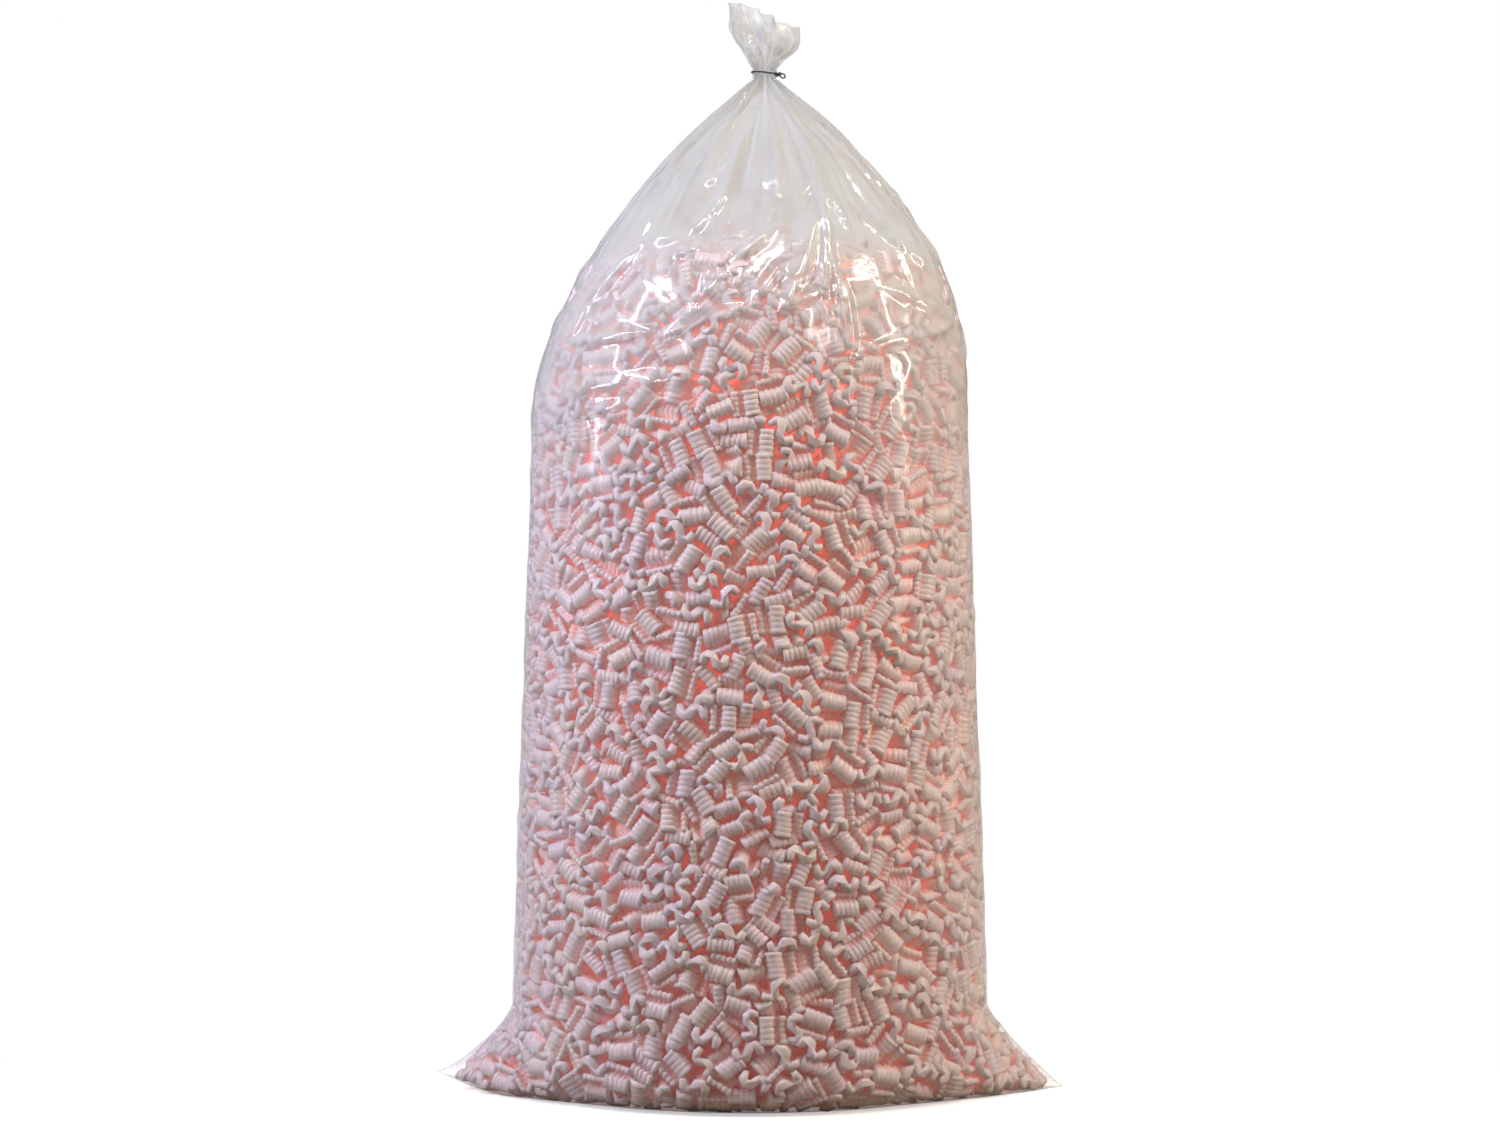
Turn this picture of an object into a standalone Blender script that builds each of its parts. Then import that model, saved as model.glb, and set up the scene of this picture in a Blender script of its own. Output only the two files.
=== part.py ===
"""Clear poly bag of S-shaped packing peanuts, gathered at the neck and closed with a wire tie.

Metres, +Z up. The origin is on the floor under the middle of the bag. +X runs along the bottom seal
towards the right ear, and -Y is the front.
"""

import math
import random

import bmesh
import bpy
from mathutils import Matrix, Vector
from mathutils.bvhtree import BVHTree

# The bag, from the floor up
BAG_HEIGHT = 1.472
RUFFLE_HEIGHT = 0.098
NECK_LENGTH = 0.014
NECK_RADIUS = 0.0165
NECK_SHIFT = 0.020
CONE_HEIGHT = 0.467
BODY_TOP_WIDTH = 0.590
BODY_TOP_DEPTH = 0.530
FOOT_WIDTH = 0.652
FOOT_DEPTH = 0.586
CONE_BULGE = 2.1
FILM_THICKNESS = 0.0005
GAP = 0.0003

# The rounded edge at the floor, and the two ears where the bottom seal ends
FLOOR_EDGE_RADIUS = 0.050
EAR_SPAN = 0.850
EAR_HEIGHT = 0.112
EAR_HALF_ANGLE = math.radians(50)
EAR_TAPER = 1.3
EAR_HOLLOW = 1.25
LEFT_EAR_LIFT = 0.020
EAR_BEND_START = 0.330
EAR_BEND_POWER = 1.3

# The gathers at the neck and the open ruffle above the tie
PLEATS = 12
POINTS_PER_PLEAT = 4
NECK_PLEAT_DEPTH = 0.0145
CONE_PLEAT_DEPTH = 0.030
CONE_PLEAT_FADE = 3
RUFFLE_RADIUS = 0.049
RUFFLE_PLEAT_DEPTH = 0.022
RUFFLE_LEAN = 0.012
RIM_DROP = 0.034

# One peanut: an S-shaped strip seen along its ribs' axis, lying with its length along X
PEANUT_LENGTH = 0.042
PEANUT_HEIGHT = 0.022
PEANUT_DEPTH = 0.035
PEANUT_STRIP = 0.0095
PEANUT_RIBS = 5
RIB_GROOVE = 0.0009
END_ROUNDING = 0.0020
STRIP_POINTS = 7
HOOK_ANGLE = math.radians(22)

# The settled heap of peanuts, and the loose ones that lie on top of it
HEADROOM = 0.246
HEAP_CROWN = 0.093
HEAP_SHOULDER_INSET = 0.030
HEAP_TO_FILM = 0.0045
HEAP_EAR_SHARE = 0.50
HEAP_COLUMNS = 10
HEAP_ROWS = 25
BUMP_HEIGHT = 0.018
LOWEST_BUMP = 0.70
BUMP_GROOVE = 0.0048
BUMP_JITTER = 0.0080
LOOSE_PEANUTS = 20
LOOSE_RING_RADII = (0.052, 0.150)
DROP_STEP = 0.002

# The wire tie round the neck
WIRE_RADIUS = 0.0011
WIRE_TILT = math.radians(7)
TAIL_ANGLE = math.radians(-52)
TAIL_SLOPE = -0.28
TWIST_RADIUS = 0.0015
TWIST_LENGTH = 0.013
TWIST_TURNS = 1.75
EYE_RADIUS = 0.0034

FOOT_RINGS = (0.0, 0.008, 0.022, 0.045, 0.075, 0.110, 0.150)
BODY_RINGS = 5
CONE_RINGS = 8
RUFFLE_RINGS = 6
TINY = 1e-9
SEED = 7

NECK_HEIGHT = BAG_HEIGHT - RUFFLE_HEIGHT
NECK_BOTTOM = NECK_HEIGHT - NECK_LENGTH / 2
NECK_TOP = NECK_HEIGHT + NECK_LENGTH / 2
BODY_TOP_HEIGHT = NECK_BOTTOM - CONE_HEIGHT
HEAP_TOP_HEIGHT = NECK_HEIGHT - HEADROOM
HEAP_SHOULDER_HEIGHT = HEAP_TOP_HEIGHT - HEAP_CROWN


def clear_scene():
    for thing in list(bpy.data.objects):
        bpy.data.objects.remove(thing, do_unlink=True)


def ease(share):
    """A smooth step from 0 to 1."""
    share = min(1.0, max(0.0, share))
    return share * share * (3 - 2 * share)


def make_material(name, colour, roughness, metallic=0.0, alpha=1.0):
    material = bpy.data.materials.new(name)
    material.use_nodes = True
    shader = material.node_tree.nodes["Principled BSDF"]
    shader.inputs["Base Color"].default_value = (*colour, 1.0)
    shader.inputs["Roughness"].default_value = roughness
    shader.inputs["Metallic"].default_value = metallic
    shader.inputs["Alpha"].default_value = alpha
    return material


def object_from(name, mesh_maker, material):
    """Makes a named mesh object out of a filled bmesh."""
    mesh = bpy.data.meshes.new(name)
    mesh_maker.to_mesh(mesh)
    mesh_maker.free()
    mesh.materials.append(material)
    thing = bpy.data.objects.new(name, mesh)
    bpy.context.scene.collection.objects.link(thing)
    return thing


def half_size(height, foot, top):
    """Half of the bag's width or depth at a height below the tie: a slow taper, then a bulging cone."""
    if height <= BODY_TOP_HEIGHT:
        return (foot + (top - foot) * height / BODY_TOP_HEIGHT) / 2
    rise = min(1.0, (height - BODY_TOP_HEIGHT) / (NECK_BOTTOM - BODY_TOP_HEIGHT))
    return NECK_RADIUS + (top / 2 - NECK_RADIUS) * (1 - rise**CONE_BULGE)


def axis_shift(height):
    """How far the bag's middle leans to +X at a height: the tied neck stands a little off the body."""
    return NECK_SHIFT * ease((height - BODY_TOP_HEIGHT) / (NECK_BOTTOM - BODY_TOP_HEIGHT) * 1.8)


def ear_reach(angle, height, rounding, inset):
    """How far the bottom corners stand out past the round body."""
    from_end = abs(math.remainder(angle, math.pi))
    if from_end >= EAR_HALF_ANGLE or height >= EAR_HEIGHT:
        return 0.0
    hollow = (1 - height / EAR_HEIGHT) ** EAR_HOLLOW
    reach = ((EAR_SPAN - FOOT_WIDTH) / 2 - inset) * hollow + rounding
    return reach * (1 - from_end / EAR_HALF_ANGLE) ** EAR_TAPER


def pleat(angle):
    """How deep the pleats go in at an angle: 0 on a ridge, 1 in a fold."""
    return 0.5 - 0.5 * math.cos(PLEATS * angle)


def uneven(angle, share):
    """The angle moved round so that the gathers come out wide and narrow."""
    return angle + share * (0.06 * math.sin(3 * angle + 1.0) + 0.03 * math.sin(5 * angle + 2.5))


def bag_point(angle, height, inset=0.0, ear_share=1.0, pleated=True):
    """A point on the bag's outer face below the tie, or inset metres inside it."""
    edge_rise = min(1.0, height / FLOOR_EDGE_RADIUS)
    rounding = FLOOR_EDGE_RADIUS * (1 - math.sqrt(1 - (1 - edge_rise) ** 2))
    across = half_size(height, FOOT_WIDTH, BODY_TOP_WIDTH) - rounding - inset
    deep = half_size(height, FOOT_DEPTH, BODY_TOP_DEPTH) - rounding - inset
    across += ear_share * ear_reach(angle, height, rounding, inset)
    turned = angle
    if pleated and height > BODY_TOP_HEIGHT:
        rise = min(1.0, (height - BODY_TOP_HEIGHT) / (NECK_BOTTOM - BODY_TOP_HEIGHT))
        neck_share = NECK_PLEAT_DEPTH / NECK_RADIUS
        depth = min(CONE_PLEAT_DEPTH * rise**CONE_PLEAT_FADE, neck_share * deep) * pleat(angle)
        across -= depth
        deep -= depth
        turned = uneven(angle, rise**2)
    x = across * math.cos(turned)
    y = deep * math.sin(turned)
    bend = max(0.0, (-x - EAR_BEND_START) / (EAR_SPAN / 2 - EAR_BEND_START))
    lift = LEFT_EAR_LIFT * bend**EAR_BEND_POWER * max(0.0, 1 - height / EAR_HEIGHT)
    return Vector((x + axis_shift(height), y, height + lift))


def ruffle_point(angle, share):
    """A point on the open gather above the tie; share runs from 0 at the neck to 1 at the rim."""
    rim = BAG_HEIGHT - RIM_DROP * (0.5 + 0.5 * math.cos(angle))
    flare = math.sin(min(1.0, 1.5 * share) * math.pi / 2)
    radius = NECK_RADIUS + (RUFFLE_RADIUS - NECK_RADIUS) * flare
    depth = NECK_PLEAT_DEPTH + (RUFFLE_PLEAT_DEPTH - NECK_PLEAT_DEPTH) * share
    radius -= depth * pleat(angle)
    turned = uneven(angle, 1.0)
    x = radius * math.cos(turned) + NECK_SHIFT - RUFFLE_LEAN * share**2
    return Vector((x, radius * math.sin(turned), NECK_TOP + (rim - NECK_TOP) * share))


def film_rings():
    """The bag's outer face as rings of points, from the floor to the rim."""
    heights = list(FOOT_RINGS)
    body_step = (BODY_TOP_HEIGHT - FOOT_RINGS[-1]) / BODY_RINGS
    heights += [FOOT_RINGS[-1] + body_step * (i + 1) for i in range(BODY_RINGS)]
    cone_step = (NECK_BOTTOM - BODY_TOP_HEIGHT) / CONE_RINGS
    heights += [BODY_TOP_HEIGHT + cone_step * (i + 1) for i in range(CONE_RINGS)]
    count = PLEATS * POINTS_PER_PLEAT
    angles = [2 * math.pi * i / count for i in range(count)]
    rings = [[bag_point(angle, height) for angle in angles] for height in heights]
    for i in range(RUFFLE_RINGS + 1):
        rings.append([ruffle_point(angle, i / RUFFLE_RINGS) for angle in angles])
    return rings


def make_film(material):
    """The bag itself: one sheet of film, closed at the floor and open at the ruffle's rim."""
    shape = bmesh.new()
    rings = [[shape.verts.new(point) for point in ring] for ring in film_rings()]
    count = len(rings[0])
    for lower, upper in zip(rings, rings[1:]):
        for i in range(count):
            j = (i + 1) % count
            shape.faces.new((lower[i], lower[j], upper[j], upper[i]))
    floor = rings[0]
    shape.faces.new((floor[0], floor[count - 1], floor[1]))
    for i in range(1, count // 2 - 1):
        shape.faces.new((floor[i], floor[count - i], floor[count - i - 1], floor[i + 1]))
    shape.faces.new((floor[count // 2 - 1], floor[count // 2 + 1], floor[count // 2]))
    bmesh.ops.triangulate(shape, faces=shape.faces)
    film = object_from("bag_film", shape, material)
    film.data.shade_smooth()
    film.data.set_sharp_from_angle(angle=math.radians(35))
    wall = film.modifiers.new("film_thickness", "SOLIDIFY")
    wall.thickness = FILM_THICKNESS
    wall.offset = -1.0
    wall.use_quality_normals = True
    return film


def disc_place(a, b):
    """Maps a square's point to (angle, share of the radius) on a disc, keeping cells even."""
    if max(abs(a), abs(b)) < TINY:
        return 0.0, 0.0
    if abs(a) >= abs(b):
        return (0.0 if a > 0 else math.pi) + math.pi / 4 * b / a, abs(a)
    return (math.pi / 2 if b > 0 else -math.pi / 2) - math.pi / 4 * a / b, abs(b)


def heap_point(a, b, c):
    """A point on the heap's face from a place on a box: a and b from -1 to 1 across, c from 0 to 1 up."""
    angle, share = disc_place(a, b)
    low = FILM_THICKNESS + GAP
    height = low + (HEAP_SHOULDER_HEIGHT - low) * c
    inset = FILM_THICKNESS + HEAP_TO_FILM + BUMP_HEIGHT
    inset += HEAP_SHOULDER_INSET * ease((c - 0.9) / 0.1)
    edge = bag_point(angle, height, inset, HEAP_EAR_SHARE, pleated=False)
    middle = Vector((axis_shift(height), 0.0, height))
    place = middle.lerp(edge, share)
    place.z = height
    if c > 1 - TINY:
        place.z += (HEAP_TOP_HEIGHT - HEAP_SHOULDER_HEIGHT) * (1 - share**2)
    return place


def make_heap(material, chance):
    """The settled peanuts as one body: a cobbled skin of peanut-sized bumps with grooves between them."""
    shape = bmesh.new()
    columns, rows = HEAP_COLUMNS, HEAP_ROWS
    corners = {}

    def corner(i, j, k):
        if (i, j, k) not in corners:
            place = heap_point(2 * i / columns - 1, 2 * j / columns - 1, k / rows)
            if k > 0:
                step = Vector([chance.uniform(-BUMP_JITTER, BUMP_JITTER) for _ in range(3)])
                outward = Vector((place.x, place.y, 0.0)).normalized()
                out_part = step.dot(outward)
                place += step - outward * (out_part + abs(out_part))
            corners[(i, j, k)] = shape.verts.new(place)
        return corners[(i, j, k)]

    bumps = []
    for i in range(columns):
        for j in range(columns):
            floor = ((i, j, 0), (i, j + 1, 0), (i + 1, j + 1, 0), (i + 1, j, 0))
            shape.faces.new([corner(*p) for p in floor])
            top = ((i, j, rows), (i + 1, j, rows), (i + 1, j + 1, rows), (i, j + 1, rows))
            bumps.append(shape.faces.new([corner(*p) for p in top]))
    around = [(i, 0) for i in range(columns)]
    around += [(columns, j) for j in range(columns)]
    around += [(columns - i, columns) for i in range(columns)]
    around += [(0, columns - j) for j in range(columns)]
    for n, start in enumerate(around):
        end = around[(n + 1) % len(around)]
        for k in range(rows):
            wall = ((*start, k), (*end, k), (*end, k + 1), (*start, k + 1))
            face = shape.faces.new([corner(*p) for p in wall])
            if k > 0:
                bumps.append(face)
    for face in bumps:
        depth = BUMP_HEIGHT * chance.uniform(LOWEST_BUMP, 1.0)
        bmesh.ops.inset_individual(
            shape, faces=[face], thickness=BUMP_GROOVE, depth=depth, use_even_offset=True
        )
    bmesh.ops.recalc_face_normals(shape, faces=shape.faces)
    return object_from("peanut_heap", shape, material)


def strip_outline(thinner=0.0):
    """The S of one peanut as a closed outline in X and Z, thinner metres inside its full section."""
    radius_x = (PEANUT_LENGTH - PEANUT_STRIP) / 4
    radius_z = (PEANUT_HEIGHT - PEANUT_STRIP) / 2
    half = PEANUT_STRIP / 2 - thinner
    one_side, other_side = [], []
    for i in range(STRIP_POINTS):
        share = 2 * i / (STRIP_POINTS - 1) - 1
        side = 1 if share >= 0 else -1
        turn = abs(share) * (math.pi + HOOK_ANGLE)
        middle = Vector((side * radius_x * (1 - math.cos(turn)), 0.0, -side * radius_z * math.sin(turn)))
        along = Vector((radius_x * math.sin(turn), 0.0, -radius_z * math.cos(turn))).normalized()
        across = Vector((-along.z, 0.0, along.x))
        one_side.append(middle + across * half)
        other_side.append(middle - across * half)
        if share > 1 - TINY:
            one_side.append(middle + along * half)
        elif share < TINY - 1:
            other_side.append(middle - along * half)
    return one_side + other_side[::-1]


def peanut_mesh():
    """One ribbed peanut, centred on its middle with its ribs stacked along Y."""
    pitch = PEANUT_DEPTH / PEANUT_RIBS
    stations = [(-PEANUT_DEPTH / 2, END_ROUNDING)]
    for rib in range(PEANUT_RIBS):
        stations.append((-PEANUT_DEPTH / 2 + pitch * (rib + 0.5), 0.0))
        if rib < PEANUT_RIBS - 1:
            stations.append((-PEANUT_DEPTH / 2 + pitch * (rib + 1), RIB_GROOVE))
    stations.append((PEANUT_DEPTH / 2, END_ROUNDING))
    shape = bmesh.new()
    rings = []
    for y, thinner in stations:
        rings.append([shape.verts.new((p.x, y, p.z)) for p in strip_outline(thinner)])
    count = len(rings[0])
    for near, far in zip(rings, rings[1:]):
        for i in range(count):
            j = (i + 1) % count
            shape.faces.new((near[i], near[j], far[j], far[i]))
    shape.faces.new(rings[0][::-1])
    shape.faces.new(rings[-1])
    bmesh.ops.recalc_face_normals(shape, faces=shape.faces)
    bmesh.ops.triangulate(shape, faces=[face for face in shape.faces if len(face.verts) > 4])
    return shape


def tree_of(shape, placement):
    """A search tree of a bmesh's faces, moved to a placement."""
    points = [placement @ vertex.co for vertex in shape.verts]
    shape.verts.index_update()
    faces = [[vertex.index for vertex in face.verts] for face in shape.faces]
    return BVHTree.FromPolygons(points, faces)


def lowered(shape, placement, below):
    """The placement moved straight down until it lies GAP above the first thing below it."""

    def is_free(trial):
        return not any(tree_of(shape, trial).overlap(other) for other in below)

    down = Matrix.Translation((0, 0, -DROP_STEP))
    while placement.translation.z > 0 and is_free(down @ placement):
        placement = down @ placement
    step = DROP_STEP / 2
    while step > GAP / 8:
        trial = Matrix.Translation((0, 0, -step)) @ placement
        if is_free(trial):
            placement = trial
        step /= 2
    return Matrix.Translation((0, 0, GAP)) @ placement


def make_loose_peanuts(heap, material, chance):
    """Separate peanuts lying on the heap, each lowered until it rests on what is under it."""
    graph = bpy.context.evaluated_depsgraph_get()
    settled = [BVHTree.FromObject(heap, graph)]
    shape = peanut_mesh()
    shared = bpy.data.meshes.new("loose_peanut")
    shape.to_mesh(shared)
    shared.materials.append(material)
    inner = LOOSE_PEANUTS // 3
    for n in range(LOOSE_PEANUTS):
        in_ring, ring = (n, 0) if n < inner else (n - inner, 1)
        ring_count = inner if ring == 0 else LOOSE_PEANUTS - inner
        angle = 2 * math.pi * (in_ring + chance.uniform(-0.12, 0.12)) / ring_count
        radius = LOOSE_RING_RADII[ring] + chance.uniform(-0.5, 0.5) * PEANUT_STRIP
        start = Vector((radius * math.cos(angle) + axis_shift(HEAP_TOP_HEIGHT), radius * math.sin(angle)))
        turn = Matrix.Rotation(chance.uniform(0, 2 * math.pi), 4, "Z")
        tip = Matrix.Rotation(chance.choice((0.0, math.pi / 2)) + chance.uniform(-0.2, 0.2), 4, "X")
        above = HEAP_TOP_HEIGHT + BUMP_HEIGHT + PEANUT_LENGTH
        placement = Matrix.Translation((start.x, start.y, above)) @ turn @ tip
        placement = lowered(shape, placement, settled)
        settled.append(tree_of(shape, placement))
        peanut = bpy.data.objects.new(f"loose_peanut_{n + 1:02d}", shared)
        peanut.matrix_world = placement
        bpy.context.scene.collection.objects.link(peanut)
    shape.free()


def smooth_curve(points, steps):
    """Points along a smooth curve through the given points."""
    ends = [points[0] * 2 - points[1], *points, points[-1] * 2 - points[-2]]
    found = []
    for before, start, end, after in zip(ends, ends[1:], ends[2:], ends[3:]):
        for i in range(steps):
            t = i / steps
            found.append(
                0.5
                * (
                    2 * start
                    + (end - before) * t
                    + (2 * before - 5 * start + 4 * end - after) * t**2
                    + (3 * start - before - 3 * end + after) * t**3
                )
            )
    return [*found, points[-1]]


def tie_route():
    """The wire's middle line: an eye, a twisted strand, once round the neck, the other strand, an eye."""
    ring_radius = NECK_RADIUS + GAP + WIRE_RADIUS
    outward = Vector((math.cos(TAIL_ANGLE), math.sin(TAIL_ANGLE), TAIL_SLOPE)).normalized()
    sideways = Vector((-math.sin(TAIL_ANGLE), math.cos(TAIL_ANGLE), 0.0))
    upward = outward.cross(sideways)
    middle = Vector((NECK_SHIFT, 0.0, NECK_HEIGHT))
    to_tail = Vector((math.cos(TAIL_ANGLE), math.sin(TAIL_ANGLE), 0.0))
    root = middle + to_tail * (ring_radius + WIRE_RADIUS * 2)
    root.z -= ring_radius * math.tan(WIRE_TILT) * math.cos(TAIL_ANGLE)

    def strand(phase, side):
        """One strand from the neck to its eye."""
        points = []
        steps = 7
        for i in range(steps + 1):
            share = i / steps
            turn = phase + share * TWIST_TURNS * 2 * math.pi
            offset = (sideways * math.cos(turn) + upward * math.sin(turn)) * TWIST_RADIUS
            points.append(root + outward * (share * TWIST_LENGTH + WIRE_RADIUS) + offset)
        heading = (points[-1] - points[-2]).normalized()
        lean = (sideways * side + upward * 0.5 * side).normalized()
        lean = (lean - heading * lean.dot(heading)).normalized()
        hub = points[-1] + heading * WIRE_RADIUS * 2 + lean * EYE_RADIUS
        for i in range(6):
            turn = math.radians(20 + 52 * i)
            points.append(hub + (heading * math.sin(turn) - lean * math.cos(turn)) * EYE_RADIUS)
        return points

    ring = []
    opening = math.asin(TWIST_RADIUS / ring_radius) * 2.2
    steps = 16
    for i in range(steps + 1):
        angle = TAIL_ANGLE + opening + (2 * math.pi - 2 * opening) * i / steps
        across, deep = ring_radius * math.cos(angle), ring_radius * math.sin(angle)
        ring.append(middle + Vector((across, deep, -across * math.tan(WIRE_TILT))))
    first = strand(0.0, 1)
    second = strand(math.pi, -1)
    return smooth_curve([*first[::-1], *ring, *second], 2)


def make_tie(material):
    """The wire tie: one length of soft wire, bent round the gathered neck and twisted shut."""
    curve = bpy.data.curves.new("wire_tie", "CURVE")
    curve.dimensions = "3D"
    curve.bevel_depth = WIRE_RADIUS
    curve.bevel_resolution = 1
    curve.use_fill_caps = True
    route = tie_route()
    line = curve.splines.new("POLY")
    line.points.add(len(route) - 1)
    for point, place in zip(line.points, route):
        point.co = (*place, 1.0)
    curve.materials.append(material)
    tie = bpy.data.objects.new("wire_tie", curve)
    bpy.context.scene.collection.objects.link(tie)
    return tie


def main():
    clear_scene()
    chance = random.Random(SEED)
    film = make_material("clear_film", (0.93, 0.94, 0.95), 0.12, alpha=0.25)
    foam = make_material("pink_foam", (0.93, 0.74, 0.72), 0.55)
    wire = make_material("dark_wire", (0.06, 0.06, 0.06), 0.4, metallic=0.8)
    make_film(film)
    heap = make_heap(foam, chance)
    bpy.context.view_layer.update()
    make_loose_peanuts(heap, foam, chance)
    make_tie(wire)


main()
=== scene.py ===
"""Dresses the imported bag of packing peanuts: clear film, ribbed foam peanuts and a wire tie."""

import math

import bpy
import numpy as np
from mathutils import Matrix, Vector


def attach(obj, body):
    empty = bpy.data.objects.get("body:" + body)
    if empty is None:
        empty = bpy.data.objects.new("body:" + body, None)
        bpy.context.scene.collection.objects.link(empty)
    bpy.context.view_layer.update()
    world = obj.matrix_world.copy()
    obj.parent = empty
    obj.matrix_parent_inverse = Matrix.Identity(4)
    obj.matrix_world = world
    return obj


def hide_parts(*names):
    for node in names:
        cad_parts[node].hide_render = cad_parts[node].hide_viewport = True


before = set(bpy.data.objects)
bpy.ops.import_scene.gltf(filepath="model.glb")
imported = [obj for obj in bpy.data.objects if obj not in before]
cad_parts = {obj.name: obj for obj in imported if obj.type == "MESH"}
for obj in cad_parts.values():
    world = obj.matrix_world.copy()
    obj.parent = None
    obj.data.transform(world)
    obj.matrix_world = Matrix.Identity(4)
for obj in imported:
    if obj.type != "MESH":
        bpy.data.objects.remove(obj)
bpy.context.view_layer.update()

# The bag's sizes, as the solids have them
BAG_HEIGHT = 1.472
NECK_HEIGHT = 1.374
NECK_LENGTH = 0.014
NECK_RADIUS = 0.0165
NECK_SHIFT = 0.020
BODY_TOP_HEIGHT = 0.90
BODY_TOP_WIDTH = 0.590
BODY_TOP_DEPTH = 0.530
FOOT_WIDTH = 0.652
FOOT_DEPTH = 0.586
CONE_BULGE = 2.1
FLOOR_EDGE_RADIUS = 0.050
EAR_SPAN = 0.850
EAR_HEIGHT = 0.112
EAR_HALF_ANGLE = math.radians(50)
EAR_TAPER = 1.3
EAR_HOLLOW = 1.25
LEFT_EAR_LIFT = 0.020
EAR_BEND_START = 0.330
EAR_BEND_POWER = 1.3
PLEATS = 12
NECK_PLEAT_DEPTH = 0.0145
CONE_PLEAT_DEPTH = 0.030
CONE_PLEAT_FADE = 3
RUFFLE_RADIUS = 0.049
RUFFLE_PLEAT_DEPTH = 0.022
RUFFLE_LEAN = 0.012
RIM_DROP = 0.034
NECK_BOTTOM = NECK_HEIGHT - NECK_LENGTH / 2
NECK_TOP = NECK_HEIGHT + NECK_LENGTH / 2

BAG_MIDDLE = Vector((0.0, 0.0, 0.80))

# The sheet of film, as a grid of points, finer in front than behind
FRONT_COLUMNS = 258
BACK_COLUMNS = 128

# How far the film's unevenness lifts it, and how far it may dip towards the peanuts
GATHER_LIFT = 0.0022
SLACK_LIFTS = ((0.0026, 0.15, 26, 3), (0.0004, 0.05, 30, 4))
SLACK_STRETCH = (1.0, 1.0, 0.22)
PRESSED_LIFT = 0.0005
PRESSED_LENGTH = 0.040
BUCKLE_LIFT = 0.0014
BUCKLE_LENGTH = 0.12
DEEPEST_DIP = 0.0006
DIP_LIMIT_HEIGHT = 1.12
CRUMPLE_LIFTS = ((0.0026, 0.045, 30, 8), (0.0005, 0.018, 30, 9))
RIM_WAVE = 0.0022
RUFFLE_FULLNESS = 0.72
RIDGE_RADIUS = 0.0018
CREASE_TIP = 0.30

# The peanuts: their size, how deep they are made, and the round lumps that keep them apart
PEANUT_LENGTH = 0.0435
PEANUT_HEIGHT = 0.0270
PEANUT_DEPTH = 0.0355
PEANUT_STRIP = 0.0120
RIB_GROOVE = 0.74
END_ROUNDING = 0.88
# How much painted coral shade lies in the grooves between ribs
GROOVE_SHADE = 0.15
LUMP_RADIUS = 0.0103
LUMP_ALONG = 0.0105
LUMP_ACROSS = 0.0065
FILM_CLEARANCE = 0.0012
SHELL_DEPTH = 0.052
DETAILED_DEPTH = 0.026
LAYER_DEPTHS = (0.014, 0.040)
WALL_PEANUTS = (2060, 1500)
WALL_SPAN = 1.085
CROWN_PEANUTS = (240, 150)
CROWN_RADIUS = 0.20
EAR_PEANUTS = 44
EAR_BEARING = 0.60
EAR_SPREAD_START = 0.30
EAR_LAYER = 0.050
LOWEST_MIDDLE = 0.014
SETTLING_STEPS = 100
SPREADING_STEPS = 66
SPREADING_PUSH = 0.0004
MOVE_SHARE = 0.9
LARGEST_TWIST = 0.35
HEAP_TOP_HEIGHT = 1.152
HEAP_DOME = 0.75

# The painted glow of the deeper peanuts, which stands in for light that comes through the foam to
# them, and the depth at which their painted coral shade is full
GLOW_AT_FLOOR = 0.05
GLOW_PER_METRE = 0.20
GLOW_AT_SIDES = 0.14
GLOW_AT_TOP = 0.14
BURIED_DEPTH = 0.03


def ease(share):
    """A smooth step from 0 to 1."""
    share = np.clip(share, 0.0, 1.0)
    return share * share * (3 - 2 * share)


def half_size(height, foot, top):
    """Half of the bag's width or depth at a height below the tie."""
    body = (foot + (top - foot) * height / BODY_TOP_HEIGHT) / 2
    rise = np.clip((height - BODY_TOP_HEIGHT) / (NECK_BOTTOM - BODY_TOP_HEIGHT), 0.0, 1.0)
    cone = NECK_RADIUS + (top / 2 - NECK_RADIUS) * (1 - rise**CONE_BULGE)
    return np.where(height <= BODY_TOP_HEIGHT, body, cone)


def axis_shift(height):
    """How far the bag's middle leans to +X at a height."""
    return NECK_SHIFT * ease((height - BODY_TOP_HEIGHT) / (NECK_BOTTOM - BODY_TOP_HEIGHT) * 1.8)


def ear_lift(x, height):
    """How far the left ear's film is lifted off the floor."""
    bend = np.clip((-x - EAR_BEND_START) / (EAR_SPAN / 2 - EAR_BEND_START), 0.0, None)
    return LEFT_EAR_LIFT * bend**EAR_BEND_POWER * np.clip(1 - height / EAR_HEIGHT, 0.0, None)


def pleat(angle):
    """How deep the pleats go in at an angle: 0 on a ridge, 1 in a fold."""
    return 0.5 - 0.5 * np.cos(PLEATS * angle)


def uneven(angle, share):
    """The angle moved round so that the gathers come out wide and narrow."""
    return angle + share * (0.06 * np.sin(3 * angle + 1.0) + 0.03 * np.sin(5 * angle + 2.5))


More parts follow.
